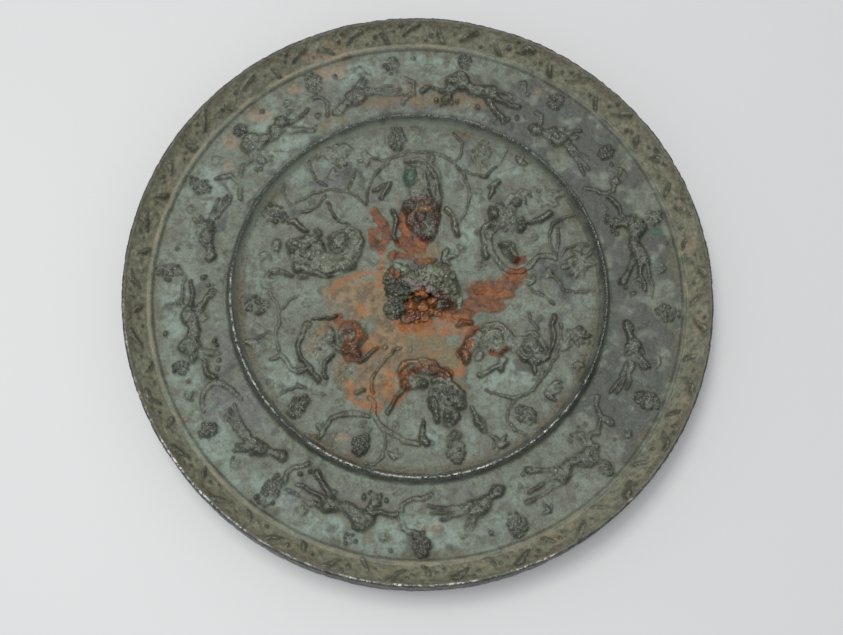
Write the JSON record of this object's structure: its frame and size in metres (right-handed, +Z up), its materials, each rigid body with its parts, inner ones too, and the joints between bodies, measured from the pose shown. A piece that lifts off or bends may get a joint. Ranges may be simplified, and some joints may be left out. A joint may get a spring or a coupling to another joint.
{
  "type": "ancient bronze mirror",
  "caption": "Round cast bronze mirror lying face down, its back carved with beasts, birds, grapes and vines around a pierced beast-shaped knob.",
  "frame": {"origin": "middle of the reflecting face, at the bottom of the bounding box, on the surface that the mirror lies on", "axes": "+Z up through the knob, normal to the disc; the knob's cord hole runs along Y"},
  "size_m": [0.167, 0.167, 0.0136],
  "materials": {
    "patinated_bronze": "aged high-tin bronze with grey-green patina, worn dark on the raised work"
  },
  "bodies": {
    "root": {"bronze_mirror": "patinated_bronze", "knob": "patinated_bronze"}
  },
  "joints": []
}
